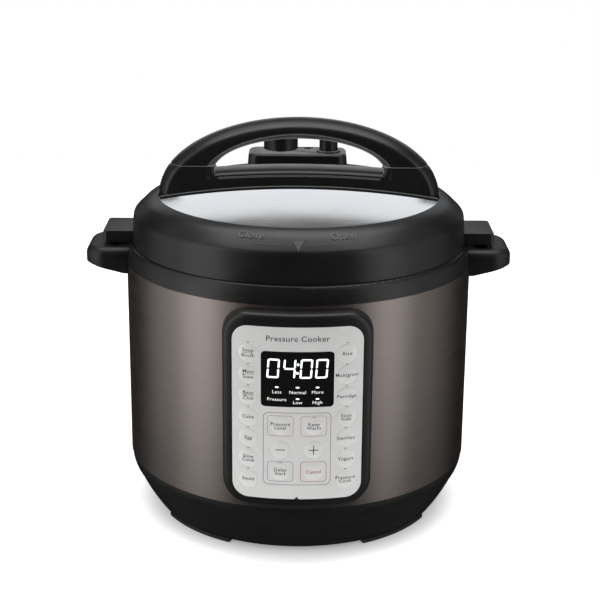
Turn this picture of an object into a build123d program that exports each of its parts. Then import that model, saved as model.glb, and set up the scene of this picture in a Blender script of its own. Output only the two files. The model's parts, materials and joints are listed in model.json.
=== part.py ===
from build123d import *
import os
from math import asin, degrees, sqrt

# Electric pressure cooker, in millimetres. Origin on the worktop, on the cooker's axis; +Z is up.
# The control panel faces -Y, and the side handles stand out along X.

# Outer housing
SLEEVE_R = 137.5
SLEEVE_WALL = 0.8
FOOT_TOP = 3.5
BASE_TOP = 45.0
RIM_BOTTOM = 205.3
RIM_TOP = 219.2
SHELL_WALL = 2.6
INNER = SLEEVE_R - SLEEVE_WALL

# Pots
OUTER_POT_R = 117.2
COLLAR_R = 126.0
COLLAR_TOP = 232.0
STEEL_WALL = 1.2
LUG_COUNT = 8
LUG_IN_R = 122.6
POT_R = 111.0
POT_BOTTOM = 62.7
POT_TOP = 218.7
POT_FLANGE_R = 119.0

# Lid
LID_BOTTOM = RIM_TOP + 0.3
LID_OPENING_R = 112.0
DOME_TOP = 263.0
DOME_R = 657.6
LID_SHELL_R = 119.8
LID_TOOTH_R = 122.0
EAR_END = 154.6
EAR_HALF = 20.5
EAR_BOTTOM = 220.0

# Lid handle
ARCH_Z = 254.5
ARCH_A = 111.5
ARCH_B = 62.3
HANDLE_DEPTH = 30.0
SEAM_Z = 280.0
GRIP_A = 68.0
GRIP_B = 27.8
GRIP_Z = 272.0

# Valves on the lid
ISLAND_MID, ISLAND_X, ISLAND_Y0, ISLAND_Y1, ISLAND_TOP = -1.5, 42.5, 33.0, 72.0, 279.0
KNOB_X, KNOB_Y, KNOB_R = -15.2, 52.0, 14.0
BUTTON_X, BUTTON_Y, BUTTON_R = 24.0, 50.0, 7.5
FLOAT_X, FLOAT_Y, FLOAT_R = 7.5, 63.0, 3.6

# Side handles
HANDLE_END = 168.8
HANDLE_HALF = 30.0
HANDLE_TOP = 217.0
SLOT_X0, SLOT_X1, SLOT_HALF = 139.9, 149.6, 21.0

# Control panel, whose face is a cylinder about the cooker's axis
PANEL_R = 146.0
PANEL_BACK_R = 143.0
BEZEL_X, BEZEL_Z0, BEZEL_Z1 = 55.7, 50.9, 202.6
BEZEL_FRONT_Z1 = 200.3
OVERLAY_X, OVERLAY_Z0, OVERLAY_Z1 = 49.0, 56.6, 191.9
OVERLAY_DEEP = 0.6
WINDOW_X, WINDOW_Z0, WINDOW_Z1 = 26.7, 130.6, 173.3
BOARD_FRONT_Y = -131.6
KEY_R = 7.2
KEY_HOLE_R = 7.6
SIDE_KEY_X, SIDE_KEY_TOP, SIDE_KEY_PITCH = 36.0, 171.0, 16.5
MID_KEY_X = 12.3
MID_KEY_ROWS = (115.6, 96.8, 79.3)

LEFT_KEYS = ("soup", "meat", "bean", "cake", "egg", "slow_cook", "saute")
RIGHT_KEYS = ("rice", "multigrain", "porridge", "sous_vide", "sterilize", "yogurt", "pressure_cook")
MID_KEYS = (("pressure_level", "keep_warm"), ("minus", "plus"), ("delay_start", "cancel"))

# Rear
CUP_X, CUP_Y1, CUP_Z0, CUP_Z1 = 24.0, 160.0, 150.0, 198.0
INLET_X, INLET_Y0, INLET_Y1, INLET_Z0, INLET_Z1 = 17.0, 108.0, 137.0, 14.0, 42.0

UP = (Align.CENTER, Align.CENTER, Align.MIN)


def disc(radius, z0, z1, x=0.0, y=0.0):
    return Pos(x, y, z0) * Cylinder(radius, z1 - z0, align=UP)


def tube(r_in, r_out, z0, z1, x=0.0, y=0.0):
    return disc(r_out, z0, z1, x, y) - disc(r_in, z0 - 1, z1 + 1, x, y)


def block(x0, x1, y0, y1, z0, z1):
    return Pos((x0 + x1) / 2, (y0 + y1) / 2, z0) * Box(x1 - x0, y1 - y0, z1 - z0, align=UP)


def turned(*lines):
    """A solid of revolution about Z, from a closed outline of lines and arcs in (radius, height)."""
    return revolve(Plane.XZ * make_face(Curve() + list(lines)), Axis.Z)


def turned_polygon(*points):
    return turned(Polyline(*points, close=True))


def sector(r0, r1, z0, z1, mid_angle, span):
    """A piece of a ring, centred on mid_angle, in degrees from +X."""
    outline = Plane.XZ * Pos((r0 + r1) / 2, (z0 + z1) / 2) * Rectangle(r1 - r0, z1 - z0)
    return Rot(0, 0, mid_angle - span / 2) * revolve(outline, Axis.Z, revolution_arc=span)


def front_prism(half_x, z0, z1, radii):
    """A rounded rectangle in the XZ plane, drawn out along -Y from y = -100 to y = -170.
    radii are those of the bottom corners and of the top corners."""
    low, high = radii
    corners = [(-half_x, z0), (half_x, z0), (half_x, z1), (-half_x, z1)]
    outline = FilletPolyline(*corners, radius=[low, low, high, high], close=True)
    return extrude(Plane.XZ.offset(100) * make_face(outline), 70)


def facing_front(half_x, z0, z1, radii, r_in, r_out):
    """A curved plate on the front of the cooker, between two radii."""
    return front_prism(half_x, z0, z1, radii) & tube(r_in, r_out, z0 - 5, z1 + 5)


# ---------------------------------------------------------------- housing

def base_outline(inset):
    """The side of the base from its floor edge up to the sleeve, moved inwards by inset."""
    low, crease, top = (117 - inset, FOOT_TOP + inset), (132.4 - inset, 30), (136.8 - inset, BASE_TOP)
    return [
        ThreePointArc(low, (125.2 - inset, 16 + inset / 2), crease),
        ThreePointArc(crease, (136.0 - inset, 37.2), top),
    ]


def make_base_cover():
    outer = base_outline(0) + [Polyline((136.8, BASE_TOP), (0, BASE_TOP), (0, FOOT_TOP), (117, FOOT_TOP))]
    inner_low = FOOT_TOP + SHELL_WALL
    inner_edge = 117 - SHELL_WALL
    inner = base_outline(SHELL_WALL) + [
        Polyline((136.8 - SHELL_WALL, BASE_TOP), (0, BASE_TOP), (0, inner_low), (inner_edge, inner_low))
    ]
    cover = turned(*outer) - turned(*inner)
    cover += tube(134.0, INNER - 0.05, BASE_TOP - 3, BASE_TOP + 4)
    for x, y in BOARD_POSTS:
        cover += disc(3.0, inner_low - 0.5, POWER_BOARD_Z, x, y)
    for angle in POST_ANGLES:
        cover -= Rot(0, 0, angle) * disc(2.3, 0, 10, POST_RADIUS, 0)
    for row in range(-3, 4):
        cover -= block(-22, 22, 12 * row - 2, 12 * row + 2, 0, 10)
    return cover - block(-INLET_X, INLET_X, INLET_Y0 - 1, 150, INLET_Z0, INLET_Z1)


POST_RADIUS = 96.0
POST_ANGLES = (45, 135, 225, 315)
POWER_BOARD_Z = 22.0
BOARD_POSTS = ((-62, -40), (-62, 32), (34, -40), (34, 32))


def make_foot_pads():
    pads = [sector(107.5, 117.3, 0, FOOT_TOP, angle, 34) for angle in (46.5, 133.5, 226.5, 313.5)]
    return [chamfer(pad.faces().sort_by(Axis.Z)[0].edges(), 0.6) for pad in pads]


def make_base_screws():
    screws = []
    for angle in POST_ANGLES:
        head = disc(4.0, 1.2, FOOT_TOP, POST_RADIUS, 0)
        drive = disc(1.6, 1.2, 2.4, POST_RADIUS, 0)
        screws.append(Rot(0, 0, angle) * (head + disc(2.0, 3.4, 20, POST_RADIUS, 0) - drive))
    return screws


def make_support_posts():
    floor = FOOT_TOP + SHELL_WALL
    post = disc(5.0, floor, 50.0, POST_RADIUS, 0) - disc(2.05, floor - 1, 22, POST_RADIUS, 0)
    return [Rot(0, 0, angle) * post for angle in POST_ANGLES]


def make_housing_sleeve():
    sleeve = tube(INNER, SLEEVE_R, BASE_TOP, RIM_BOTTOM)
    return sleeve - front_prism(47, 55, 195, (8, 8))


def rim_outer_face():
    return [
        Line((138.0, RIM_BOTTOM), (137.6, 210.0)),
        ThreePointArc((137.6, 210.0), (136.8, 214.4), (135.2, 217.8)),
        ThreePointArc((135.2, 217.8), (134.5, 218.8), (133.4, RIM_TOP)),
    ]


def make_rim_ring():
    inner = Polyline(
        (133.4, RIM_TOP), (COLLAR_R + 0.3, RIM_TOP), (COLLAR_R + 0.3, 206), (COLLAR_R + 2.3, 206),
        (COLLAR_R + 2.3, 216.6), (132.6, 216.6), (134.9, 210), (135.3, RIM_BOTTOM), (138.0, RIM_BOTTOM),
    )
    ring = turned(*rim_outer_face(), inner)
    for side in (-1, 1):
        for y in HANDLE_SCREW_Y:
            hole = Pos(side * 135, y, HANDLE_SCREW_Z) * Rot(0, 90, 0) * Cylinder(2.2, 10)
            ring -= hole
    return ring


HANDLE_SCREW_Y = (-25.5, 25.5)
HANDLE_SCREW_Z = 211.5


def make_side_handle(side):
    """A D-shaped side handle; side is +1 on the right, -1 on the left."""
    corners = [(118, -HANDLE_HALF), (HANDLE_END, -HANDLE_HALF), (HANDLE_END, HANDLE_HALF), (118, HANDLE_HALF)]
    plan = make_face(FilletPolyline(*corners, radius=[0, 17, 17, 0], close=True))
    handle = Pos(0, 0, 196.5) * extrude(plan, HANDLE_TOP - 196.5)
    rim = handle.faces().sort_by(Axis.Z)[-1].edges().filter_by(lambda e: e.center().X > 130)
    handle = fillet(rim, 7.0)
    underside = make_face(Polyline((100, 190), (180, 190), (180, 205.3), (HANDLE_END - 4, 203.4),
                                   (138, 196.6), (100, 196.6), close=True))
    handle -= extrude(Plane.XZ * underside, 60, both=True)
    slot = Pos((SLOT_X0 + SLOT_X1) / 2, 0, 190) * extrude(
        RectangleRounded(SLOT_X1 - SLOT_X0, 2 * SLOT_HALF, 4), 40)
    handle -= slot
    core = turned(*rim_outer_face(), Polyline((133.4, RIM_TOP), (0, RIM_TOP), (0, RIM_BOTTOM), (138, RIM_BOTTOM)))
    handle -= core + disc(SLEEVE_R + 0.02, 180, RIM_BOTTOM + 0.01)
    for y in HANDLE_SCREW_Y:
        handle -= Pos(143, y, HANDLE_SCREW_Z) * Rot(0, 90, 0) * Cylinder(2.05, 22)
    return handle if side > 0 else mirror(handle, Plane.YZ)


def make_handle_screws():
    screws = []
    for side in (-1, 1):
        for y in HANDLE_SCREW_Y:
            shank = Pos(140.25, y, HANDLE_SCREW_Z) * Rot(0, 90, 0) * Cylinder(2.0, 23.5)
            head = Pos(128.65, y, HANDLE_SCREW_Z) * Rot(0, 90, 0) * Cylinder(3.4, 1.5)
            screw = shank + head
            screws.append(screw if side > 0 else mirror(screw, Plane.YZ))
    return screws


# ---------------------------------------------------------------- pots and heater

def make_outer_pot():
    inside = OUTER_POT_R - STEEL_WALL
    pot = turned_polygon(
        (70, 50), (OUTER_POT_R, 50), (OUTER_POT_R, 204.8), (COLLAR_R, 204.8), (COLLAR_R, COLLAR_TOP),
        (COLLAR_R - STEEL_WALL, COLLAR_TOP), (COLLAR_R - STEEL_WALL, 206.0), (inside, 206.0),
        (inside, 50 + STEEL_WALL), (70, 50 + STEEL_WALL),
    )
    for i in range(LUG_COUNT):
        lug = sector(LUG_IN_R, COLLAR_R - 0.5, COLLAR_TOP - 1.6, COLLAR_TOP, 360 / LUG_COUNT * i, 22.5)
        pot += lug
    return pot


def make_inner_pot():
    wall = STEEL_WALL
    outer = [
        Line((0, POT_BOTTOM), (POT_R - 12, POT_BOTTOM)),
        RadiusArc((POT_R - 12, POT_BOTTOM), (POT_R, POT_BOTTOM + 12), -12),
        Line((POT_R, POT_BOTTOM + 12), (POT_R, POT_TOP - wall)),
        Polyline((POT_R, POT_TOP - wall), (POT_FLANGE_R, POT_TOP - wall), (POT_FLANGE_R, POT_TOP),
                 (POT_R - wall, POT_TOP), (POT_R - wall, POT_BOTTOM + 15)),
        RadiusArc((POT_R - wall, POT_BOTTOM + 15), (POT_R - wall - 11, POT_BOTTOM + 4), 11),
        Polyline((POT_R - wall - 11, POT_BOTTOM + 4), (0, POT_BOTTOM + 4), (0, POT_BOTTOM)),
    ]
    return turned(*outer)


SENSOR_R = 17.5
SENSOR_STEM_R = 6.0
BRACKET_FLOOR = 43.5
PLATE_TOP = POT_BOTTOM - 0.3
PLATE_R = 78.0


def make_heating_plate():
    plate = disc(PLATE_R, 50 + STEEL_WALL, PLATE_TOP) - disc(SENSOR_R + 1.0, 40, 70)
    plate = chamfer(plate.faces().sort_by(Axis.Z)[-1].outer_wire().edges(), 2.0)
    for r in (34, 48, 62):
        plate -= tube(r - 0.6, r + 0.6, PLATE_TOP - 0.6, PLATE_TOP + 1)
    return plate


def make_heating_coil():
    coil = Torus(58, 3.6)
    coil = Pos(0, 0, 47.5) * (coil - Pos(58, 0, 0) * Box(30, 22, 20))
    for y in (-11.2, 11.2):
        lead_x = sqrt(58 ** 2 - 11.2 ** 2)
        coil += disc(2.2, 36, 47.5, lead_x, y)
    return coil


def make_sensor_cap():
    cap = disc(SENSOR_R, 59.4, PLATE_TOP)
    cap = chamfer(cap.faces().sort_by(Axis.Z)[-1].edges(), 0.8)
    return cap + disc(SENSOR_STEM_R, 36, 59.5)


def make_sensor_bracket():
    floor = disc(22, BRACKET_FLOOR - 1.5, BRACKET_FLOOR) - disc(SENSOR_STEM_R + 0.3, 30, 60)
    return floor + tube(20.5, 22, BRACKET_FLOOR - 0.5, 50 + STEEL_WALL)


def make_sensor_spring():
    """A compression spring between the bracket's floor and the cap."""
    wire, radius, turns = 0.9, 10.0, 4.5
    low, high = BRACKET_FLOOR + wire, 59.4 - wire
    path = Pos(0, 0, low) * Helix((high - low) / turns, high - low, radius)
    section = Plane(path @ 0, z_dir=path % 0) * Circle(wire)
    return sweep(section, path)


def make_pressure_switch():
    body = block(66, 92, -60, -40, 30, 44)
    return body + disc(2.5, 43, 49.7, 79, -50)


def make_power_board():
    board = block(-68, 40, -46, 38, POWER_BOARD_Z, POWER_BOARD_Z + 1.6)
    top = POWER_BOARD_Z + 1.5
    board += block(-60, -40, -30, -12, top, top + 15)
    board += block(-34, -12, -36, -16, top, top + 13)
    board += disc(8, top, top + 12, 2, -24)
    board += block(-60, -30, 4, 24, top, top + 9)
    board += block(10, 30, 2, 26, top, top + 11)
    return board


# ---------------------------------------------------------------- power inlet

def make_power_inlet():
    body = block(-INLET_X + 0.1, INLET_X - 0.1, INLET_Y0, INLET_Y1, INLET_Z0 + 0.1, INLET_Z1 - 0.1)
    socket = block(-12.3, 12.3, INLET_Y1 - 17, INLET_Y1 + 1, INLET_Z0 + 5.5, INLET_Z1 - 5.5)
    body = chamfer(body.faces().sort_by(Axis.Y)[-1].edges(), 1.0)
    body -= socket
    for x, z in PIN_PLACES:
        body -= block(x - 1.05, x + 1.05, INLET_Y0 - 1, INLET_Y1 - 16, z - 2.05, z + 2.05)
    return body


PIN_PLACES = ((-7.0, 26.5), (0.0, 30.5), (7.0, 26.5))


def make_inlet_pins():
    return [block(x - 1, x + 1, INLET_Y0 - 5, INLET_Y1 - 6, z - 2, z + 2) for x, z in PIN_PLACES]


# ---------------------------------------------------------------- control panel

def key_places():
    """Each key's name, its place on the panel (x, z) and whether it stands in the middle block."""
    places = []
    for row, name in enumerate(LEFT_KEYS):
        places.append((name, -SIDE_KEY_X, SIDE_KEY_TOP - SIDE_KEY_PITCH * row, False))
    for row, name in enumerate(RIGHT_KEYS):
        places.append((name, SIDE_KEY_X, SIDE_KEY_TOP - SIDE_KEY_PITCH * row, False))
    for names, z in zip(MID_KEYS, MID_KEY_ROWS):
        for name, x in zip(names, (-MID_KEY_X, MID_KEY_X)):
            places.append((name, x, z, True))
    return places


def on_panel(x, z, piece):
    """Turns a piece made along -Y, at height 0, to its place on the curved panel."""
    return Rot(0, 0, degrees(asin(x / PANEL_R))) * Pos(0, 0, z) * piece


def rod(radius, r_in, r_out):
    """A round rod along -Y between two radii."""
    return Pos(0, -(r_in + r_out) / 2, 0) * Rot(90, 0, 0) * Cylinder(radius, r_out - r_in)


def make_key(x, z, middle):
    cap = rod(KEY_R, 142.0, PANEL_R + 0.5)
    cap = fillet(cap.faces().sort_by(Axis.Y)[0].edges(), 0.7)
    key = cap + rod(8.0, 141.6, 142.3)
    if middle:
        key += rod(2.4, 137.2, 141.8)
    return on_panel(x, z, key)


def make_panel_bezel():
    bezel = facing_front(BEZEL_X, BEZEL_Z0, BEZEL_Z1, (19, 17), SLEEVE_R + 0.02, PANEL_R)
    flank = make_face(Polyline((-PANEL_R - 5, BEZEL_FRONT_Z1), (-PANEL_R, BEZEL_FRONT_Z1),
                               (-SLEEVE_R, BEZEL_Z1), (-SLEEVE_R, 215), (-PANEL_R - 5, 215), close=True))
    bezel -= extrude(Plane.YZ * flank, 70, both=True)
    bezel -= facing_front(50.5, 55, 195, (14, 12), SLEEVE_R - 1, PANEL_BACK_R)
    bezel -= facing_front(OVERLAY_X, OVERLAY_Z0, OVERLAY_Z1, (12.5, 11), PANEL_R - OVERLAY_DEEP, PANEL_R + 2)
    bezel -= facing_front(WINDOW_X, WINDOW_Z0, WINDOW_Z1, (3, 3), PANEL_R - 1.6, PANEL_R + 2)
    bezel -= front_prism(25.4, WINDOW_Z0 + 1.2, WINDOW_Z1 - 1.2, (1, 1))
    for name, x, z, middle in key_places():
        bezel -= on_panel(x, z, rod(KEY_HOLE_R, 140, 150))
    for x in (-36, 36):
        for z in (60.9, 184.0):
            post = Pos(x, (BOARD_FRONT_Y - 139) / 2, z) * Rot(90, 0, 0) * Cylinder(2.2, 139 + BOARD_FRONT_Y)
            bezel += post
    return bezel


def make_panel_overlay():
    overlay = facing_front(OVERLAY_X, OVERLAY_Z0, OVERLAY_Z1, (12.5, 11), PANEL_R - OVERLAY_DEEP, PANEL_R)
    overlay -= front_prism(WINDOW_X, WINDOW_Z0, WINDOW_Z1, (3, 3))
    for name, x, z, middle in key_places():
        overlay -= on_panel(x, z, rod(KEY_HOLE_R, 140, 150))
    return overlay


def make_display_window():
    return facing_front(WINDOW_X, WINDOW_Z0, WINDOW_Z1, (3, 3), PANEL_R - 1.6, PANEL_R)


def make_display_module():
    return block(-25, 25, -141.4, BOARD_FRONT_Y, WINDOW_Z0 + 1.6, WINDOW_Z1 - 1.6)


def make_control_board():
    return block(-41.5, 41.5, BOARD_FRONT_Y, BOARD_FRONT_Y + 1.6, 58.5, 187)


def make_key_switches():
    """One small push switch on the board behind each key."""
    switches = []
    for name, x, z, middle in key_places():
        depth = 137.2 if middle else 141.6
        place = depth * x / PANEL_R
        can = block(place - 3, place + 3, BOARD_FRONT_Y - 3.4, BOARD_FRONT_Y, z - 3, z + 3)
        stem = Pos(place, BOARD_FRONT_Y - 3.8, z) * Rot(90, 0, 0) * Cylinder(1.7, 1.0)
        switches.append(can + stem)
    return switches


# ---------------------------------------------------------------- lid

def dome_z(r, drop=0.0):
    return DOME_TOP - drop - r * r / (2 * DOME_R)


def dome_solid(inset):
    """The whole space under the steel lid's outer face, moved inwards by inset."""
    side, shoulder = LID_SHELL_R - inset, 108 - 0.3 * inset
    return turned(
        ThreePointArc((0, dome_z(0, inset)), (54, dome_z(54, inset)), (shoulder, dome_z(shoulder, inset))),
        ThreePointArc((shoulder, dome_z(shoulder, inset)), (115.8 - 0.7 * inset, 250.4 - 0.7 * inset),
                      (side, 243)),
        Polyline((side, 243), (side, 222.5), (0, 222.5), (0, dome_z(0, inset))),
    )


def make_lid_shell():
    shell = dome_solid(0) - dome_solid(STEEL_WALL)
    for i in range(LUG_COUNT):
        shell += sector(LID_SHELL_R - 0.4, LID_TOOTH_R, 225.6, 227.2, 360 / LUG_COUNT * i, 20)
    shell -= disc(5.4, 240, 270, KNOB_X, KNOB_Y)
    shell -= disc(FLOAT_R + 0.5, 240, 270, FLOAT_X, FLOAT_Y)
    for x, y in LID_SCREW_PLACES:
        shell -= disc(2.3, 240, 270, x, y)
    return shell


LID_SCREW_PLACES = ((-88, -7.5), (-88, 7.5), (88, -7.5), (88, 7.5))


def lid_cover_face(inset):
    """The cover's side, corner, 43-degree slope and top edge in (radius, height), moved inwards by inset."""
    side_low, side_top = (132.8 - inset, LID_BOTTOM), (131.5 - inset, 240.0)
    slope_low, slope_top = (129.6 - 0.9 * inset, 244.2 - 0.5 * inset), (122.5 - 0.6 * inset, 251.0 - 0.75 * inset)
    edge = (LID_OPENING_R, 256.7 - inset)
    return [
        Line(side_low, side_top),
        ThreePointArc(side_top, (131.0 - inset, 242.2 - 0.2 * inset), slope_low),
        Line(slope_low, slope_top),
        ThreePointArc(slope_top, (117.7 - 0.4 * inset, 254.4 - 0.9 * inset), edge),
    ]


def make_lid_cover():
    side = LID_BOTTOM
    outer = lid_cover_face(0) + [
        Polyline((LID_OPENING_R, 256.7), (0, 256.7), (0, side), (132.8, side))
    ]
    hollow = lid_cover_face(2.4) + [
        Polyline((LID_OPENING_R, 254.3), (0, 254.3), (0, side), (130.4, side))
    ]
    cover = turned(*outer) - turned(*hollow) - disc(LID_OPENING_R, 200, 270)
    for direction in (-1, 1):
        corners = [(130.2, -EAR_HALF), (EAR_END, -EAR_HALF), (EAR_END, EAR_HALF), (130.2, EAR_HALF)]
        plan = make_face(FilletPolyline(*corners, radius=[0, 3, 3, 0], close=True))
        ear = Pos(0, 0, EAR_BOTTOM) * extrude(plan, 9.4)
        ear = fillet(ear.faces().sort_by(Axis.Z)[-1].edges().filter_by(lambda e: e.center().X > 131), 1.6)
        cover += ear if direction > 0 else mirror(ear, Plane.YZ)
    return cover


def grip_opening():
    """The finger opening between the handle's two pieces, as a face in XZ."""
    floor = ThreePointArc((-GRIP_A, GRIP_Z), (0, GRIP_Z + 2.2), (GRIP_A, GRIP_Z))
    sides = Polyline((GRIP_A, GRIP_Z), (GRIP_A, GRIP_Z + 40), (-GRIP_A, GRIP_Z + 40), (-GRIP_A, GRIP_Z))
    return (Pos(0, GRIP_Z) * Ellipse(GRIP_A, GRIP_B)) & make_face(Curve() + [floor, sides])


def arch_solid(z0, z1):
    """The part of the elliptical arch between two heights, with the finger opening cut out."""
    face = Pos(0, ARCH_Z) * Ellipse(ARCH_A, ARCH_B)
    band = Pos(0, (z0 + z1) / 2) * Rectangle(300, z1 - z0)
    return extrude(Plane.XZ * ((face & band) - grip_opening()), HANDLE_DEPTH / 2, both=True)


def make_handle_base():
    base = arch_solid(245, SEAM_Z) - dome_solid(0)
    base &= disc(LID_OPENING_R - 0.3, 230, 300)
    for x, y in LID_SCREW_PLACES:
        base -= disc(2.0, 240, 270, x, y)
    return base


def make_handle_grip():
    grip = arch_solid(SEAM_Z, 320)
    crown = grip.edges().filter_by(lambda e: abs(abs(e.center().Y) - HANDLE_DEPTH / 2) < 0.1)
    crown = crown.filter_by(lambda e: e.bounding_box().max.Z > 316)
    return fillet(crown, 4.0)


def make_valve_housing():
    middle = (ISLAND_Y0 + ISLAND_Y1) / 2
    plan = RectangleRounded(2 * ISLAND_X, ISLAND_Y1 - ISLAND_Y0, 11)
    house = Pos(ISLAND_MID, middle, 250) * extrude(plan, ISLAND_TOP - 250, taper=5)
    house = fillet(house.faces().sort_by(Axis.Z)[-1].edges(), 2.5)
    house -= dome_solid(0)
    house += tube(BUTTON_R + 0.6, BUTTON_R + 2.6, ISLAND_TOP - 1, ISLAND_TOP + 1.4, BUTTON_X, BUTTON_Y)
    house -= disc(5.4, 240, 290, KNOB_X, KNOB_Y)
    house -= disc(BUTTON_R + 0.5, 264, 290, BUTTON_X, BUTTON_Y)
    return house - disc(FLOAT_R + 0.5, 240, 290, FLOAT_X, FLOAT_Y)


def make_sealing_ring():
    return turned_polygon((109.2, 221), (111, 219.1), (118.0, 219.1), (118.2, 226), (116.0, 228.5),
                          (112.6, 228.5), (112.6, 226.5), (114.6, 224.5), (114.6, 222.6), (109.2, 222.6))


def make_ring_rack():
    return Pos(0, 0, 225.6) * Torus(110.6, 1.4)


def make_anti_block_shield():
    """A perforated steel cap under the dome, over the steam outlet's mouth."""
    shield = disc(16, 240, dome_z(70, STEEL_WALL) - 0.2, KNOB_X, KNOB_Y) - disc(15, 241, 262, KNOB_X, KNOB_Y)
    for i in range(6):
        hole = Rot(0, 0, 60 * i) * block(10, 20, -2, 2, 244, 250)
        shield -= Pos(KNOB_X, KNOB_Y, 0) * hole
    return shield


def make_lid_screws():
    screws = []
    for x, y in LID_SCREW_PLACES:
        seat = dome_z(92.4, STEEL_WALL)
        screws.append(disc(3.6, seat - 2.2, seat, x, y) + disc(1.9, seat - 0.5, 267, x, y))
    return screws


def make_steam_release_knob():
    cap = disc(KNOB_R, 281, 303, KNOB_X, KNOB_Y)
    cap = fillet(cap.faces().sort_by(Axis.Z)[-1].edges(), 2.5)
    cap += disc(5.0, 246, 282, KNOB_X, KNOB_Y)
    return cap - block(KNOB_X - 1.2, KNOB_X + 1.2, KNOB_Y - 11, KNOB_Y + 11, 302, 304)


def make_quick_release_button():
    button = disc(BUTTON_R, 271, 299, BUTTON_X, BUTTON_Y)
    head = disc(BUTTON_R + 1.2, 298, 302.4, BUTTON_X, BUTTON_Y)
    return button + fillet(head.faces().sort_by(Axis.Z)[-1].edges(), 1.2)


def make_float_valve():
    pin = disc(FLOAT_R, 243, 275.5, FLOAT_X, FLOAT_Y)
    return pin + disc(6.5, 242, 244, FLOAT_X, FLOAT_Y)


# ---------------------------------------------------------------- condensation cup

def make_condensation_cup():
    cup = block(-CUP_X, CUP_X, 120, CUP_Y1, CUP_Z0, CUP_Z1)
    cup = fillet(cup.edges().filter_by(Axis.Z).sort_by(Axis.Y)[-2:], 6)
    hollow = block(-CUP_X + 1.6, CUP_X - 1.6, 120, CUP_Y1 - 1.6, CUP_Z0 + 1.8, CUP_Z1 + 1)
    hollow = fillet(hollow.edges().filter_by(Axis.Z).sort_by(Axis.Y)[-2:], 4.4)
    back = SLEEVE_R + 0.5
    return cup - disc(back, 100, 240) - (hollow - disc(back + 1.6, 100, 240))


def make_cup_bracket():
    """The bracket on the back of the housing: a drip roof over the cup, with a rail on each side."""
    roof = block(-CUP_X - 3, CUP_X + 3, 120, CUP_Y1 + 1, CUP_Z1 + 0.4, 205)
    for side in (-1, 1):
        x0, x1 = sorted((side * (CUP_X + 0.4), side * (CUP_X + 3)))
        roof += block(x0, x1, 120, 152, 184, 200)
    spout = block(-3, 3, 140, 158, CUP_Z1, 210)
    return roof - disc(SLEEVE_R + 0.02, 100, 240) - spout


def main():
    parts = {
        "base_cover": make_base_cover(),
        "foot_pads": make_foot_pads(),
        "base_screws": make_base_screws(),
        "support_posts": make_support_posts(),
        "housing_sleeve": make_housing_sleeve(),
        "rim_ring": make_rim_ring(),
        "side_handle_left": make_side_handle(-1),
        "side_handle_right": make_side_handle(1),
        "handle_screws": make_handle_screws(),
        "outer_pot": make_outer_pot(),
        "heating_plate": make_heating_plate(),
        "heating_coil": make_heating_coil(),
        "sensor_cap": make_sensor_cap(),
        "sensor_spring": make_sensor_spring(),
        "sensor_bracket": make_sensor_bracket(),
        "pressure_switch": make_pressure_switch(),
        "power_board": make_power_board(),
        "power_inlet": make_power_inlet(),
        "inlet_pins": make_inlet_pins(),
        "panel_bezel": make_panel_bezel(),
        "panel_overlay": make_panel_overlay(),
        "display_window": make_display_window(),
        "display_module": make_display_module(),
        "control_board": make_control_board(),
        "key_switches": make_key_switches(),
        "lid_cover": make_lid_cover(),
        "lid_shell": make_lid_shell(),
        "handle_base": make_handle_base(),
        "handle_grip": make_handle_grip(),
        "valve_housing": make_valve_housing(),
        "sealing_ring": make_sealing_ring(),
        "ring_rack": make_ring_rack(),
        "anti_block_shield": make_anti_block_shield(),
        "lid_screws": make_lid_screws(),
        "steam_release_knob": make_steam_release_knob(),
        "quick_release_button": make_quick_release_button(),
        "float_valve": make_float_valve(),
        "inner_pot": make_inner_pot(),
        "condensation_cup": make_condensation_cup(),
        "cup_bracket": make_cup_bracket(),
    }
    for name, x, z, middle in key_places():
        parts["key_" + name] = make_key(x, z, middle)

    os.makedirs("parts", exist_ok=True)
    for name, shape in parts.items():
        if isinstance(shape, list):
            shape = Compound(children=shape)
        export_step(shape, f"parts/{name}.step")


if __name__ == "__main__":
    main()
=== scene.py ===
"""Looks of an electric pressure cooker: finishes, printed panel, lid handle and studio, built on the CAD frame."""
import json
from math import asin, cos, hypot, pi, radians, sin, sqrt

import bmesh
import bpy
from mathutils import Matrix, Vector

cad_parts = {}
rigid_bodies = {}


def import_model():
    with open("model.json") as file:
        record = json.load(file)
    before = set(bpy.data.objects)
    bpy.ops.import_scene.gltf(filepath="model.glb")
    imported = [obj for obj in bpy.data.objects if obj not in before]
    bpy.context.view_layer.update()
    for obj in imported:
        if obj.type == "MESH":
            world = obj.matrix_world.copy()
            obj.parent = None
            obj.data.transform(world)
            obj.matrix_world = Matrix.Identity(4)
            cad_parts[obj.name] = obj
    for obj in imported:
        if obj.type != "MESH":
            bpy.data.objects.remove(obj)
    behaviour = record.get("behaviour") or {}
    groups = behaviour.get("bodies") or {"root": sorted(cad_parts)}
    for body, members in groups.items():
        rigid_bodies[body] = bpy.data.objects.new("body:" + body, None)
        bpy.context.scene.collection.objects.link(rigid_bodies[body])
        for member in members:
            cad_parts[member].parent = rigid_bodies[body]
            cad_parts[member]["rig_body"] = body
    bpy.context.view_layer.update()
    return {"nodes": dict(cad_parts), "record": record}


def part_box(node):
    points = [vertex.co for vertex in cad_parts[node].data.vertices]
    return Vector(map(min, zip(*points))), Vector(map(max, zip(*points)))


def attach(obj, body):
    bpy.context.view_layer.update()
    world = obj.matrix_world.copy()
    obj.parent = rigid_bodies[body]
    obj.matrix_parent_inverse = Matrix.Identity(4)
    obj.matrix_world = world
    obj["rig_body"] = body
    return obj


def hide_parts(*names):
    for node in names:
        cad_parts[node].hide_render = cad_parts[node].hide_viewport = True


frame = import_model()

bl_info = {
    "name": "Pressure cooker looks",
    "version": (1, 0, 0),
    "blender": (4, 5, 0),
    "location": "View3D > Sidebar > Cooker",
    "description": "Finishes, panel print, lid handle and studio for an electric pressure cooker",
    "category": "Object",
}

MM = 0.001

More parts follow.
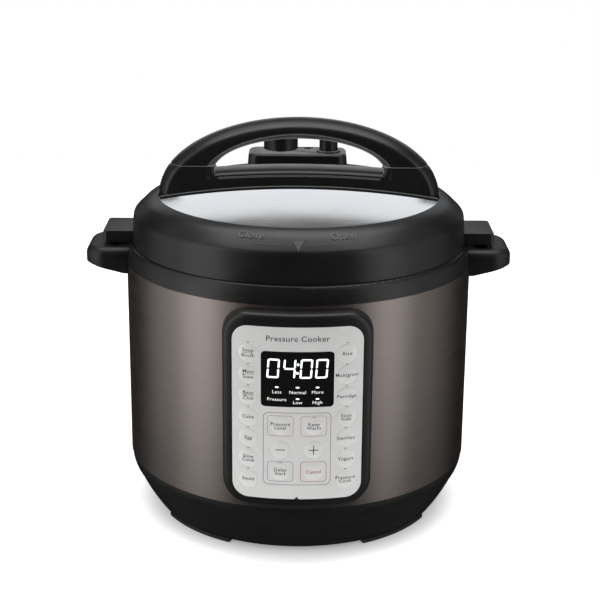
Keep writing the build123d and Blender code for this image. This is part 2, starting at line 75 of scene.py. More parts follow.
# Places read from the frame
PANEL_R = -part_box("panel_overlay")[0].y
GRIP_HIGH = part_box("handle_grip")[1]
BASE_LOW, BASE_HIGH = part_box("handle_base")
BEZEL_LOW, BEZEL_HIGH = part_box("panel_bezel")
SLEEVE_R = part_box("housing_sleeve")[1].x
LID_SHELL_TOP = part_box("lid_shell")[1].z

PRINT_LIFT = 0.05 * MM


# ---------------------------------------------------------------- shader maths

class Wire:
    """A number output in a node tree, usable in ordinary arithmetic."""

    def __init__(self, paint, socket):
        self.paint, self.socket = paint, socket

    def _do(self, operation, *values):
        inputs = {index: value for index, value in enumerate(values)}
        return self.paint.node("ShaderNodeMath", {"operation": operation}, inputs)[0]

    def __add__(self, other):
        return self._do("ADD", self, other)

    def __sub__(self, other):
        return self._do("SUBTRACT", self, other)

    def __rsub__(self, other):
        return self._do("SUBTRACT", other, self)

    def __mul__(self, other):
        return self._do("MULTIPLY", self, other)

    def __truediv__(self, other):
        return self._do("DIVIDE", self, other)

    def __pow__(self, other):
        return self._do("POWER", self, other)

    __radd__ = __add__
    __rmul__ = __mul__


class Node:
    """A made node; its outputs are read by name or index as wires."""

    def __init__(self, paint, made):
        self.paint, self.made = paint, made

    def __getitem__(self, key):
        return Wire(self.paint, self.made.outputs[key])


class Paint:
    """A material with a Principled shader; every other node comes from the node method."""

    def __init__(self, name, **finish):
        self.material = bpy.data.materials.new(name)
        self.material.use_nodes = True
        self.tree = self.material.node_tree
        self.tree.nodes.clear()
        self.shader = self.node("ShaderNodeBsdfPrincipled", {}, finish)
        self.node("ShaderNodeOutputMaterial", {}, {"Surface": self.shader["BSDF"]})

    def node(self, kind, settings, inputs):
        made = self.tree.nodes.new(kind)
        stops = settings.pop("stops", None) if settings else None
        for key, value in settings.items():
            setattr(made, key, value)
        if stops:
            ramp = made.color_ramp
            while len(ramp.elements) < len(stops):
                ramp.elements.new(0.5)
            for element, (position, colour) in zip(ramp.elements, stops):
                element.position, element.color = position, colour
        for key, value in inputs.items():
            if isinstance(value, Wire):
                self.tree.links.new(value.socket, made.inputs[key])
            else:
                made.inputs[key].default_value = value
        return Node(self, made)

    def place(self):
        return self.node("ShaderNodeTexCoord", {}, {})["Object"]

    def axes(self):
        split = self.node("ShaderNodeSeparateXYZ", {}, {0: self.place()})
        return split["X"], split["Y"], split["Z"]

    def noise(self, vector, scale, detail=3.0, rough=0.55):
        inputs = {"Vector": vector, "Scale": scale, "Detail": detail, "Roughness": rough}
        return self.node("ShaderNodeTexNoise", {}, inputs)["Fac"]

    def vector(self, x, y, z):
        return self.node("ShaderNodeCombineXYZ", {}, {"X": x, "Y": y, "Z": z})[0]

    def spread(self, value, low, high):
        """Maps the middle of a noise's range to low..high."""
        inputs = {"Value": value, "From Min": 0.3, "From Max": 0.7, "To Min": low, "To Max": high}
        return self.node("ShaderNodeMapRange", {"clamp": True}, inputs)[0]

    def blend(self, factor, low, high):
        node = self.node("ShaderNodeMix", {"data_type": "RGBA"}, {0: factor, 6: low, 7: high})
        return node[2]

    def feed(self, **links):
        for key, wire in links.items():
            self.tree.links.new(wire.socket, self.shader.made.inputs[key.replace("_", " ")])

    def bump(self, height, distance, strength=1.0):
        inputs = {"Height": height, "Distance": distance, "Strength": strength}
        self.feed(Normal=self.node("ShaderNodeBump", {}, inputs)["Normal"])


def opaque(colour, scale=1.0):
    return tuple(min(1.0, c * scale) for c in colour[:3]) + (1.0,)


# ---------------------------------------------------------------- settings

def colour_property(name, description, default):
    return bpy.props.FloatVectorProperty(
        name=name, description=description, default=default, subtype="COLOR", size=3, min=0.0, max=1.0)


def number(name, description, default, **kind):
    return bpy.props.FloatProperty(name=name, description=description, default=default, **kind)


class CookerFinish(bpy.types.PropertyGroup):
    plastic: colour_property("Plastic", "Colour of the black moulded plastic", (0.0062, 0.0060, 0.0062))
    plastic_rough: number("Plastic roughness", "Mean roughness of the moulded plastic", 0.36, subtype="FACTOR")
    sleeve: colour_property("Sleeve", "Colour of the tinted steel sleeve", (0.235, 0.207, 0.197))
    sleeve_rough: number("Sleeve roughness", "Mean roughness of the brushed sleeve", 0.36, subtype="FACTOR")
    steel: colour_property("Steel", "Colour of the plain stainless steel", (0.72, 0.725, 0.735))
    film: colour_property("Panel film", "Colour of the silver panel film", (0.80, 0.80, 0.795))
    ink: colour_property("Ink", "Colour of the printed labels", (0.05, 0.05, 0.055))
    light: colour_property("Display light", "Colour of the lit figures", (0.93, 0.96, 1.0))


class CookerPanel(bpy.types.PropertyGroup):
    label_height: number("Label height", "Height of the printed key labels", 2.65 * MM, unit="LENGTH")
    key_radius: number("Key radius", "Radius of each domed key", 7.2 * MM, unit="LENGTH")
    key_rise: number("Key rise", "Height of a dome above the film", 0.75 * MM, unit="LENGTH")
    digit_height: number("Digit height", "Height of the display's figures", 14.9 * MM, unit="LENGTH")
    digit_width: number("Digit width", "Width of the display's figures", 9.0 * MM, unit="LENGTH")


class CookerStage(bpy.types.PropertyGroup):
    lens: number("Lens", "Camera lens for a 36 mm wide sensor", 89.64)
    distance: number("Distance", "Camera distance in front of the axis", 1.1602, unit="LENGTH")
    height: number("Height", "Camera height above the worktop", 0.5358, unit="LENGTH")
    pitch: number("Pitch", "Downward tilt of the camera", radians(17.67), subtype="ANGLE")
    roll: number("Roll", "Roll of the camera", radians(0.46), subtype="ANGLE")


def finish():
    return bpy.context.scene.cooker_finish


def panel():
    return bpy.context.scene.cooker_panel


# ---------------------------------------------------------------- materials

def make_plastic(name, tint=1.0, rough=0.0, gloss=0.42, grain=0.00003):
    """Satin moulded black plastic with a fine grain and faint handling marks."""
    paint = Paint(name, **{"Specular IOR Level": gloss})
    place = paint.place()
    cloud = paint.noise(place, 38.0, 4.0)
    speck = paint.noise(place, 2600.0, 2.0)
    colour = opaque(finish().plastic, tint)
    paint.feed(Base_Color=paint.blend(paint.spread(cloud, 0.0, 1.0), opaque(colour, 0.86), opaque(colour, 1.18)))
    level = finish().plastic_rough + rough
    paint.feed(Roughness=paint.spread(cloud, level - 0.03, level + 0.03) + paint.spread(speck, -0.02, 0.02))
    paint.bump(speck, grain, 0.5)
    return paint.material


def make_brushed_round(name, colour, rough, contrast=0.1, metallic=1.0):
    """Metal brushed round the vertical axis: streaks run along the circumference."""
    paint = Paint(name, Metallic=metallic)
    x, y, z = paint.axes()
    turn = paint.node("ShaderNodeMath", {"operation": "ARCTAN2"}, {0: x, 1: y})[0]
    fine = paint.noise(paint.vector(turn * 9.0, 0.0, z * 2600.0), 1.0, 3.0)
    broad = paint.noise(paint.vector(turn * 3.0, 0.3, z * 420.0), 1.0, 2.0)
    streak = fine * 0.6 + broad * 0.4
    low, high = opaque(colour, 1.0 - contrast), opaque(colour, 1.0 + contrast)
    paint.feed(Base_Color=paint.blend(paint.spread(streak, 0.0, 1.0), low, high))
    paint.feed(Roughness=paint.spread(streak, rough - 0.05, rough + 0.05))
    paint.bump(streak, 0.00002, 0.35)
    return paint.material


def make_brushed_across(name, colour, rough, contrast=0.08):
    """Sheet steel brushed in straight lines along X."""
    paint = Paint(name, Metallic=1.0)
    x, y, z = paint.axes()
    fine = paint.noise(paint.vector(x * 12.0, y * 2200.0, z * 300.0), 1.0, 3.0)
    cloud = paint.noise(paint.place(), 22.0, 3.0)
    low, high = opaque(colour, 1.0 - contrast), opaque(colour, 1.0 + contrast)
    paint.feed(Base_Color=paint.blend(paint.spread(fine * 0.7 + cloud * 0.3, 0.0, 1.0), low, high))
    paint.feed(Roughness=paint.spread(cloud, rough - 0.03, rough + 0.03) + paint.spread(fine, -0.03, 0.03))
    paint.bump(fine, 0.00002, 0.25)
    return paint.material


def make_mottled(name, low, high, scale, rough, detail=4.0, bump=None, **settings):
    """A finish whose colour and roughness drift together, in clouds of the given scale."""
    paint = Paint(name, **settings)
    cloud = paint.noise(paint.place(), scale, detail)
    paint.feed(Base_Color=paint.blend(paint.spread(cloud, 0.0, 1.0), low, high))
    paint.feed(Roughness=paint.spread(cloud, *rough))
    if bump:
        paint.bump(cloud, *bump)
    return paint.material


def make_plain_metal(name, colour, rough):
    """Plated or turned metal with a faint mottled sheen."""
    return make_mottled(name, opaque(colour, 0.9), opaque(colour, 1.06), 160.0, (rough - 0.06, rough + 0.06),
                        bump=(0.00003, 0.3), Metallic=1.0)


def make_turned_plate(name, colour, rough):
    """Cast aluminium turned in fine rings about the axis."""
    paint = Paint(name, Metallic=1.0)
    x, y, z = paint.axes()
    radius = (x * x + y * y) ** 0.5
    rings = paint.noise(paint.vector(radius * 2200.0, 0.0, 0.0), 1.0, 2.0)
    paint.feed(Base_Color=paint.blend(paint.spread(rings, 0, 1), opaque(colour, 0.88), opaque(colour, 1.05)))
    paint.feed(Roughness=paint.spread(rings, rough - 0.05, rough + 0.07))
    paint.bump(rings, 0.00004, 0.5)
    return paint.material


def make_film(name, colour, scale=1.0):
    """Silver panel film with a faint horizontal print grain."""
    paint = Paint(name, Metallic=0.15)
    x, y, z = paint.axes()
    grain = paint.noise(paint.vector(x * 30.0, 0.0, z * 2400.0), 1.0, 3.0)
    cloud = paint.noise(paint.place(), 60.0, 2.0)
    tone = paint.spread(grain * 0.6 + cloud * 0.4, 0.0, 1.0)
    paint.feed(Base_Color=paint.blend(tone, opaque(colour, 0.94 * scale), opaque(colour, 1.05 * scale)))
    paint.feed(Roughness=paint.spread(grain, 0.4, 0.48))
    paint.bump(grain, 0.00001, 0.3)
    return paint.material


def make_ink(name, colour):
    """Screen-printed ink, slightly uneven."""
    return make_mottled(name, opaque(colour, 0.88), opaque(colour, 1.12), 1500.0, (0.45, 0.55), 2.0)


def make_window(name):
    """Gloss black window with a breath of dust on it."""
    return make_mottled(name, (0.004, 0.004, 0.004, 1), (0.0065, 0.0065, 0.006, 1), 90.0, (0.10, 0.16),
                        **{"Specular IOR Level": 0.4})


def make_glow(name, colour, strength):
    """Light from behind the display window, a little uneven over each figure."""
    paint = Paint(name, Roughness=0.3, **{"Emission Strength": strength})
    cloud = paint.noise(paint.place(), 300.0, 2.0)
    tone = paint.blend(paint.spread(cloud, 0, 1), opaque(colour, 0.93), opaque(colour, 1.0))
    paint.feed(Base_Color=tone, Emission_Color=tone)
    return paint.material


def make_board(name):
    """Solder mask with faint copper tracks under it."""
    return make_mottled(name, (0.012, 0.09, 0.035, 1), (0.03, 0.16, 0.06, 1), 420.0, (0.3, 0.45), 1.0, (0.00005, 0.5))


def make_soft(name, colour, rough, milky=0.0):
    """Rubber or silicone: a fine dusty skin."""
    return make_mottled(name, opaque(colour, 0.85), opaque(colour, 1.1), 500.0, (rough - 0.06, rough + 0.06),
                        bump=(0.00004, 0.4), **{"Subsurface Weight": milky, "Subsurface Scale": 0.004})


def make_clear(name):
    """Clear moulded plastic."""
    return make_mottled(name, (0.86, 0.88, 0.89, 1), (0.93, 0.94, 0.95, 1), 120.0, (0.04, 0.1), 3.0,
                        IOR=1.45, **{"Transmission Weight": 0.92})


MATERIALS = {}


def material(name):
    """Makes each material once, the first time it is asked for."""
    if name not in MATERIALS:
        look = finish()
        makers = {
            "satin_plastic": lambda: make_plastic(name),
            "bezel_plastic": lambda: make_plastic(name, 1.1, 0.04, 0.4),
            "base_plastic": lambda: make_plastic(name, 1.0, 0.08, 0.35),
            "valve_plastic": lambda: make_plastic(name, 0.8, 0.02),
            # The raised marks' plastic is ten times lighter: partly their frosted texture, partly a painted highlight
            # standing in for the light on their edges
            "raised_plastic_frost_and_sheen": lambda: make_plastic(name, 10.0, 0.0),
            "sleeve_steel": lambda: make_brushed_round(name, look.sleeve, look.sleeve_rough),
            "lid_steel": lambda: make_brushed_across(name, look.steel, 0.15),
            "pot_steel": lambda: make_brushed_round(name, look.steel, 0.28, 0.06),
            "plated_steel": lambda: make_plain_metal(name, (0.6, 0.6, 0.62), 0.32),
            "turned_aluminium": lambda: make_turned_plate(name, (0.62, 0.62, 0.64), 0.36),
            "pin_brass": lambda: make_plain_metal(name, (0.68, 0.52, 0.26), 0.26),
            "panel_film": lambda: make_film(name, look.film),
            "key_film": lambda: make_film(name, look.film, 1.04),
            "lamp_film": lambda: make_ink(name, (0.3, 0.3, 0.3)),
            "dark_ink": lambda: make_ink(name, look.ink),
            "grey_ink": lambda: make_ink(name, (0.22, 0.22, 0.23)),
            "rose_ink": lambda: make_ink(name, (0.5, 0.28, 0.24)),
            "amber_ink": lambda: make_ink(name, (0.5, 0.33, 0.2)),
            "blue_ink": lambda: make_ink(name, (0.24, 0.26, 0.42)),
            "red_ink": lambda: make_ink(name, (0.4, 0.12, 0.1)),
            "window_black": lambda: make_window(name),
            "figure_light": lambda: make_glow(name, look.light, 1.05),
            "legend_light": lambda: make_glow(name, (0.8, 0.8, 0.78), 0.7),
            "solder_mask": lambda: make_board(name),
            "foot_rubber": lambda: make_soft(name, (0.012, 0.012, 0.012), 0.6),
            "silicone": lambda: make_soft(name, (0.66, 0.66, 0.63), 0.42, 0.3),
            "clear_plastic": lambda: make_clear(name),
        }
        MATERIALS[name] = makers[name]()
    return MATERIALS[name]


SLOT_FINISH = {
    "black_plastic": "satin_plastic",
    "bezel_plastic": "bezel_plastic",
    "rubber_feet": "foot_rubber",
    "gunmetal_steel": "sleeve_steel",
    "steel": "pot_steel",
    "plate_aluminium": "turned_aluminium",
    "zinc_steel": "plated_steel",
    "pin_brass": "pin_brass",
    "panel_silver": "panel_film",
    "key_silver": "key_film",
    "window_black": "window_black",
    "circuit_board": "solder_mask",
    "component_plastic": "valve_plastic",
    "silicone": "silicone",
    "clear_plastic": "clear_plastic",
}
NODE_FINISH = {
    "side_handle_left": "base_plastic",
    "side_handle_right": "base_plastic",
    "base_cover": "base_plastic",
    "lid_shell": "lid_steel",
    "valve_housing": "valve_plastic",
    "steam_release_knob": "valve_plastic",
    "quick_release_button": "valve_plastic",
}


# ---------------------------------------------------------------- mesh helpers

def shade(mesh, crease=32.0):
    mesh.polygons.foreach_set("use_smooth", [True] * len(mesh.polygons))
    mesh.set_sharp_from_angle(angle=radians(crease))


def place_object(name, data):
    obj = bpy.data.objects.new(name, data)
    bpy.context.scene.collection.objects.link(obj)
    return obj


def evaluated_mesh(obj):
    """The object's mesh as its modifiers leave it."""
    depsgraph = bpy.context.evaluated_depsgraph_get()
    return bpy.data.meshes.new_from_object(obj.evaluated_get(depsgraph))


def settle(obj, body, slot, replaced=()):
    """Puts a finished piece on its body, in place of the CAD nodes it stands for; its slot is not used."""
    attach(obj, body)
    if replaced:
        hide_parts(*replaced)
    return obj


def add_mesh(name, points, faces, materials, marks=None, crease=32.0, closed=True):
    """A new object from points and faces; marks gives each face's material index."""
    mesh = bpy.data.meshes.new(name)
    mesh.from_pydata([tuple(p) for p in points], [], faces)
    for entry in materials:
        mesh.materials.append(material(entry))
    if marks:
        mesh.polygons.foreach_set("material_index", marks)
    work = bmesh.new()
    work.from_mesh(mesh)
    bmesh.ops.remove_doubles(work, verts=work.verts, dist=1e-6)
    if closed:
        bmesh.ops.recalc_face_normals(work, faces=work.faces)
    work.to_mesh(mesh)
    work.free()
    shade(mesh, crease)
    return place_object(name, mesh)


class Sheet:
    """Collects points and faces of one mesh."""

    def __init__(self):
        self.points, self.faces, self.marks = [], [], []

    def add(self, points, faces, mark=0):
        start = len(self.points)
        self.points += points
        self.faces += [tuple(start + i for i in face) for face in faces]
        self.marks += [mark] * len(faces)

    def grid(self, rows, mark=0, wrap=False):
        """Quads between successive rows of points; wrap joins each row's end to its start."""
        start, width = len(self.points), len(rows[0])
        for row in rows:
            self.points += row
        last = width if wrap else width - 1
        for r in range(len(rows) - 1):
            for c in range(last):
                a, b = start + r * width + c, start + r * width + (c + 1) % width
                self.faces.append((a, b, b + width, a + width))
                self.marks.append(mark)

    def tube(self, rows):
        """A closed tube through the rows, with a face over each end."""
        self.grid(rows, wrap=True)
        for row in (rows[0], rows[-1]):
            self.add(row, [tuple(range(len(row)))])

    def fan(self, ring, centre, mark=0):
        start = len(self.points)
        self.points += ring + [centre]
        count = len(ring)
        for i in range(count):
            self.faces.append((start + i, start + (i + 1) % count, start + count))
            self.marks.append(mark)


def smooth_copy(node, crease=32.0, bevel=0.0):
    """A merged, smooth-shaded copy of a CAD node that stands for it, with softened edges where bevel is given."""
    source = frame["nodes"][node]
    mesh = source.data.copy()
    mesh.name = node + "_skin"
    work = bmesh.new()
    work.from_mesh(mesh)
    bmesh.ops.remove_doubles(work, verts=work.verts, dist=1e-5)
    bmesh.ops.dissolve_degenerate(work, edges=work.edges, dist=1e-6)
    if bevel:
        bmesh.ops.dissolve_limit(work, angle_limit=radians(1.0), verts=work.verts, edges=work.edges)
    work.to_mesh(mesh)
    work.free()
    obj = place_object(node + "_skin", mesh)
    if bevel:
        soften = obj.modifiers.new("Soft edges", "BEVEL")
        soften.width, soften.segments = bevel, 2
        soften.limit_method, soften.angle_limit = "ANGLE", radians(35.0)
        soften.use_clamp_overlap = True
        mesh = evaluated_mesh(obj)
        obj.modifiers.clear()
        obj.data = mesh
    if mesh.has_custom_normals:
        mesh.attributes.remove(mesh.attributes["custom_normal"])
    shade(mesh, crease)
    return settle(obj, source["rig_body"], slot_of(node), [node])


def slot_of(node):
    for entry in frame["record"]["subparts"]:
        if entry["node"] == node:
            return entry["material_slot"]
    raise RuntimeError(f"no slot for {node}")


def finish_of(node):
    return NODE_FINISH.get(node, SLOT_FINISH[slot_of(node)])


# ---------------------------------------------------------------- surfaces to print on

def on_panel(x, z, lift=0.0):
    """A point of the panel's curved face, lift above it."""
    r = PANEL_R + lift
    return (x, -sqrt(r * r - x * x), z)


# The lid's front shoulder, from its lower edge up: distance from the axis and height
LID_SHOULDER = ((129.6 * MM, 244.2 * MM), (122.5 * MM, 251.0 * MM), (117.7 * MM, 254.4 * MM), (112.0 * MM, 256.7 * MM))


def on_lid_slope(along, up, lift=0.0):
    """A point on the lid's shoulder: along the circle from the front, up the slope, lift above it."""
    angle = along / LID_SHOULDER[0][0]
    for (r0, z0), (r1, z1) in zip(LID_SHOULDER, LID_SHOULDER[1:]):
        length = hypot(r1 - r0, z1 - z0)
        if up <= length or r1 == LID_SHOULDER[-1][0]:
            break
        up -= length
    out, rise = (r1 - r0) / length, (z1 - z0) / length
    r, z = r0 + out * up + rise * lift, z0 + rise * up - out * lift
    return (r * sin(angle), -r * cos(angle), z)


def word_mesh(text, height, depth=0.0, weight=0.0, shear=0.0):
    """Points and faces of a word in the XY plane, centred on x = 0 with its capitals height tall."""
    curve = bpy.data.curves.new("word", "FONT")
    curve.body, curve.align_x, curve.align_y = text, "CENTER", "CENTER"
    curve.size, curve.offset, curve.extrude = 1.0, weight, depth
    curve.shear, curve.resolution_u = shear, 3
    curve.space_line, curve.space_character = 0.78, 1.06
    obj = place_object("word", curve)
    mesh = evaluated_mesh(obj)
    scale = height / 0.72
    points = [(v.co.x * scale, v.co.y * scale, v.co.z * scale) for v in mesh.vertices]
    faces = [tuple(p.vertices) for p in mesh.polygons]
    bpy.data.objects.remove(obj)
    bpy.data.curves.remove(curve)
    bpy.data.meshes.remove(mesh)
    return points, faces


def rounded_loop(half_x, half_z, radius, steps=8):
    """Points of a rounded rectangle about the origin, counter-clockwise, with each side divided."""
    loop = []
    centres = ((half_x - radius, half_z - radius), (radius - half_x, half_z - radius),
               (radius - half_x, radius - half_z), (half_x - radius, radius - half_z))
    for quarter, (cx, cz) in enumerate(centres):
        for i in range(steps + 1):
            angle = (quarter + i / steps) * pi / 2
            loop.append((cx + radius * cos(angle), cz + radius * sin(angle)))
        nx, nz = centres[(quarter + 1) % 4]
        end_angle = (quarter + 1) * pi / 2
        start = loop[-1]
        stop = (nx + radius * cos(end_angle), nz + radius * sin(end_angle))
        for i in range(1, steps):
            loop.append((start[0] + (stop[0] - start[0]) * i / steps, start[1] + (stop[1] - start[1]) * i / steps))
    return loop


def frame_line(sheet, x, z, half_x, half_z, radius, width, mark, lift=0.04 * MM):
    """A printed rounded frame on the panel."""
    outer = rounded_loop(half_x, half_z, radius)
    inner = rounded_loop(half_x - width, half_z - width, radius - width)
    rows = [[on_panel(x + p, z + q, lift) for p, q in loop] for loop in (outer, inner)]
    sheet.grid(rows, mark, wrap=True)


def register_classes(undo=False):
    for cls in CLASSES:
        (bpy.utils.unregister_class if undo else bpy.utils.register_class)(cls)


# ---------------------------------------------------------------- operators

class COOKER_OT_finish(bpy.types.Operator):
    """Gives every CAD node its material, and the outer ones a smooth skin."""

    bl_idname = "cooker.finish"
    bl_label = "Finish the CAD nodes"

    BEVELLED = {
        "side_handle_left": 0.8, "side_handle_right": 0.8, "valve_housing": 0.5, "steam_release_knob": 0.4,
        "quick_release_button": 0.3, "cup_bracket": 0.5, "power_inlet": 0.4,
    }
    UNREFLECTED = ("valve_housing", "steam_release_knob", "quick_release_button")
    SKINNED = ("base_cover", "rim_ring", "housing_sleeve", "lid_cover", "lid_shell", "outer_pot", "inner_pot",
               "condensation_cup", "foot_pads", "panel_overlay", "display_window", "sealing_ring", "ring_rack",
               "heating_plate", "anti_block_shield", "float_valve", "sensor_cap")

    def execute(self, context):
        for node, obj in frame["nodes"].items():
            obj.data.materials.clear()
            obj.data.materials.append(material(finish_of(node)))
        for node in self.SKINNED:
            smooth_copy(node, 52.0 if node == "rim_ring" else 32.0)
        for node, width in self.BEVELLED.items():
            skin = smooth_copy(node, bevel=width * MM)
            skin.visible_glossy = node not in self.UNREFLECTED
        return {"FINISHED"}


class COOKER_OT_lid_handle(bpy.types.Operator):
    """Builds the arched grip and the base it stands on."""

    bl_idname = "cooker.lid_handle"
    bl_label = "Build the lid handle"

    SEAM_Z, ARCH_Z = 0.280, 0.2545
    # The finger opening: centre height, half width and rise of its arch, and the floor under it
    OPENING_Z, OPENING_X, OPENING_RISE, FLOOR_Z = 0.272, 0.068, 0.0278, 0.2716
    DOME_R = 0.6576
    STATIONS = 96
    HALF = 0.015

    def dome(self, x):
        """Height of the steel dome on the handle's centre line."""
        return LID_SHELL_TOP - x * x / (2 * self.DOME_R)

    def outer(self, angle):
        a, b = BASE_HIGH.x, GRIP_HIGH.z - self.ARCH_Z
        point = Vector((a * cos(angle), 0, self.ARCH_Z + b * sin(angle)))
        normal = Vector((cos(angle) / a, 0, sin(angle) / b)).normalized()
        return point, normal

    def inner(self, angle):
        return Vector((self.OPENING_X * cos(angle), 0, self.OPENING_Z + self.OPENING_RISE * sin(angle)))

    def edge_profile(self):
        """Half of the crown in (depth below the crest, y), from the crest to the flat side."""
        crown = [(0.0042 * (i / 8) ** 2, 0.0121 * i / 8) for i in range(9)]
        return crown + [(0.0048, 0.0130), (0.0058, 0.0139), (0.0072, 0.0146), (0.0090, 0.0149)]

    def belly_profile(self):
        """Half of the underside in (height above the opening's edge, y), from the flat side to the middle."""
        sides = [(0.0085, 0.0149), (0.0070, 0.0146), (0.0058, 0.0138)]
        return sides + [(0.0052 * (i / 8) ** 1.6, 0.0130 * i / 8) for i in range(8, -1, -1)]

    def section(self, outer, normal, inner):
        """One closed slice of the grip, from its crest round to its underside and back."""
        along = inner - outer
        length = along.length
        along.normalize()
        stretch = 1 / max(0.2, abs(along.dot(normal)))
        half = [(depth * stretch, y) for depth, y in self.edge_profile()]
        half += [(length - rise, y) for rise, y in self.belly_profile()]
        loop = half + [(w, -y) for w, y in reversed(half[1:-1])]
        return [tuple(outer + along * w + Vector((0, y, 0))) for w, y in loop]

    def grip(self):
        start = asin((self.SEAM_Z + 0.0002 - self.ARCH_Z) / (GRIP_HIGH.z - self.ARCH_Z))
        inner_start = asin((self.SEAM_Z + 0.0002 - self.OPENING_Z) / self.OPENING_RISE)
        rows = []
        for i in range(self.STATIONS + 1):
            part = i / self.STATIONS
            outer, normal = self.outer(start + (pi - 2 * start) * part)
            inner = self.inner(inner_start + (pi - 2 * inner_start) * part)
            rows.append(self.section(outer, normal, inner))
        sheet = Sheet()
        sheet.tube(rows)
        return add_mesh("lid_grip_arch", sheet.points, sheet.faces, ["satin_plastic"], crease=24.0)

    def end_block(self, sheet, side):
        """One end of the base, made of level slices from under the dome up to the seam."""
        rows = []
        top = self.SEAM_Z - 0.0003
        bottom = BASE_LOW.z
        for i in range(25):
            z = bottom + (top - bottom) * i / 24
            angle = asin(min(1.0, max(-0.06, (z - self.ARCH_Z) / (GRIP_HIGH.z - self.ARCH_Z))))
            outer, normal = self.outer(angle)
            stretch = 1 / max(0.2, normal.x)
            groove = 0.0006 * max(0.0, 1 - (24 - i) / 1.5)
            half = [(outer.x - depth * stretch - groove, max(0.0, y - groove)) for depth, y in self.edge_profile()]
            side_y = self.HALF - 0.0001 - groove
            notch = 0.0009 * min(1.0, max(0.0, (z - 0.2695) / 0.002))
            half += [(0.0722, side_y), (0.0716, side_y - notch), (0.0710, side_y - notch), (0.0704, side_y)]
            corner = self.wall_x(z)
            half.append((corner + 0.002, side_y))
            half.append((corner, self.HALF - 0.0021 - groove))
            half.append((corner, 0.0))
            loop = half + [(x, -y) for x, y in reversed(half[1:-1])]
            rows.append([(side * x, y, z) for x, y in loop])
        sheet.tube(rows)

    def wall_x(self, z):
        """Where the finger opening's end wall stands at height z, with a rounded corner at its foot."""
        floor, radius, wall = self.FLOOR_Z, 0.0052, 0.0668
        if z <= floor:
            return wall - radius
        rise = min(radius, z - floor)
        return wall - radius + sqrt(max(0.0, radius ** 2 - (radius - rise) ** 2))

    def web(self, sheet):
        """The bridge between the ends, under the finger opening, crowned along the middle."""
        rows = []
        for i in range(41):
            x = -0.0665 + 0.133 * i / 40
            floor = self.FLOOR_Z + 0.0026 * (1 - (x / 0.0665) ** 2)
            bottom = self.dome(x) - 0.0012
            half = [(0.0, floor + 0.0039), (0.004, floor + 0.0038), (0.008, floor + 0.0034), (0.0108, floor + 0.0028),
                    (0.0130, floor + 0.0019), (0.0142, floor + 0.0010), (0.0148, floor + 0.0001),
                    (0.01485, floor - 0.0004), (0.0145, floor - 0.0008), (0.0140, floor - 0.0011),
                    (0.0141, floor - 0.0015), (0.0146, floor - 0.0018), (0.01485, floor - 0.0022), (0.01485, bottom)]
            loop = half + [(-y, z) for y, z in reversed(half[1:])]
            rows.append([(x, y, z) for y, z in loop])
        sheet.tube(rows)

    def skirt(self, sheet):
        """A narrow rounded flange along the foot of each wall, following the dome."""
        for side in (-1, 1):
            rows = []
            for i in range(61):
                x = -0.1095 + 0.219 * i / 60
                dome = self.dome(x) - 0.0002
                section = ((0.0145, 0.0024), (0.0155, 0.0023), (0.0161, 0.0018), (0.0164, 0.0009), (0.0164, -0.0008),
                           (0.0145, -0.0008))
                rows.append([(x, side * y, dome + rise) for y, rise in section])
            sheet.tube(rows)

    def execute(self, context):
        grip = settle(self.grip(), "lid", "black_plastic", ["handle_grip"])
        grip.visible_glossy = False
        sheet = Sheet()
        for side in (-1, 1):
            self.end_block(sheet, side)
        self.web(sheet)
        self.skirt(sheet)
        base = add_mesh("lid_handle_foot", sheet.points, sheet.faces, ["satin_plastic"], crease=30.0)
        settle(base, "lid", "black_plastic", ["handle_base"])
        base.visible_glossy = frame["nodes"]["lid_screws"].visible_glossy = False
        return {"FINISHED"}


class COOKER_OT_lid_marks(bpy.types.Operator):
    """Raises the turn marks on the lid's front slope: a line, a pointer and two words."""

    bl_idname = "cooker.lid_marks"
    bl_label = "Raise the lid marks"

    def execute(self, context):
        sheet = Sheet()
        lift = 0.25 * MM
        steps = 40
        profile = ((4.35, 0.0), (4.4, 1.0), (4.75, 1.0), (4.8, 0.0))
        for x0, x1 in ((-34.5, -7.0), (6.0, 34.0)):
            rows = []
            for i in range(steps + 1):
                along = (x0 + (x1 - x0) * i / steps) * MM
                rows.append([on_lid_slope(along, up * MM, level * lift) for up, level in profile])
            sheet.grid(rows)
        top, tip, half = 9.3, -0.3, 5.6
        corners = [(-half, top), (half, top), (0.0, tip)]
        centre = (0.0, (2 * top + tip) / 3)
        rings = []
        for shrink, level in ((1.0, 0.0), (0.93, 1.6), (0.80, 1.6), (0.74, 0.9)):
            ring = []
            for k in range(3):
                (ax, az), (bx, bz) = corners[k], corners[(k + 1) % 3]
                for i in range(8):
                    x, z = ax + (bx - ax) * i / 8, az + (bz - az) * i / 8
                    x, z = centre[0] + (x - centre[0]) * shrink, centre[1] + (z - centre[1]) * shrink
                    ring.append(on_lid_slope(x * MM, z * MM, level * lift))
            rings.append(ring)
        sheet.grid(rings, wrap=True)
        sheet.fan(rings[-1], on_lid_slope(centre[0] * MM, centre[1] * MM, 0.9 * lift))
        for word, along, up in (("Close", -37.5, 11.6), ("Open", 34.6, 11.4)):
            points, faces = word_mesh(word, 6.2 * MM, depth=0.045, weight=0.006, shear=0.12)
            wrapped = [on_lid_slope(along * MM + x, up * MM + y, z + 0.1 * MM) for x, y, z in points]
            sheet.add(wrapped, faces)
        # The marks' lighter tint is partly frosted texture and partly a painted edge highlight
        marks = add_mesh("lid_turn_marks", sheet.points, sheet.faces, ["raised_plastic_frost_and_sheen"], closed=False)
        settle(marks, "lid", "black_plastic")
        return {"FINISHED"}


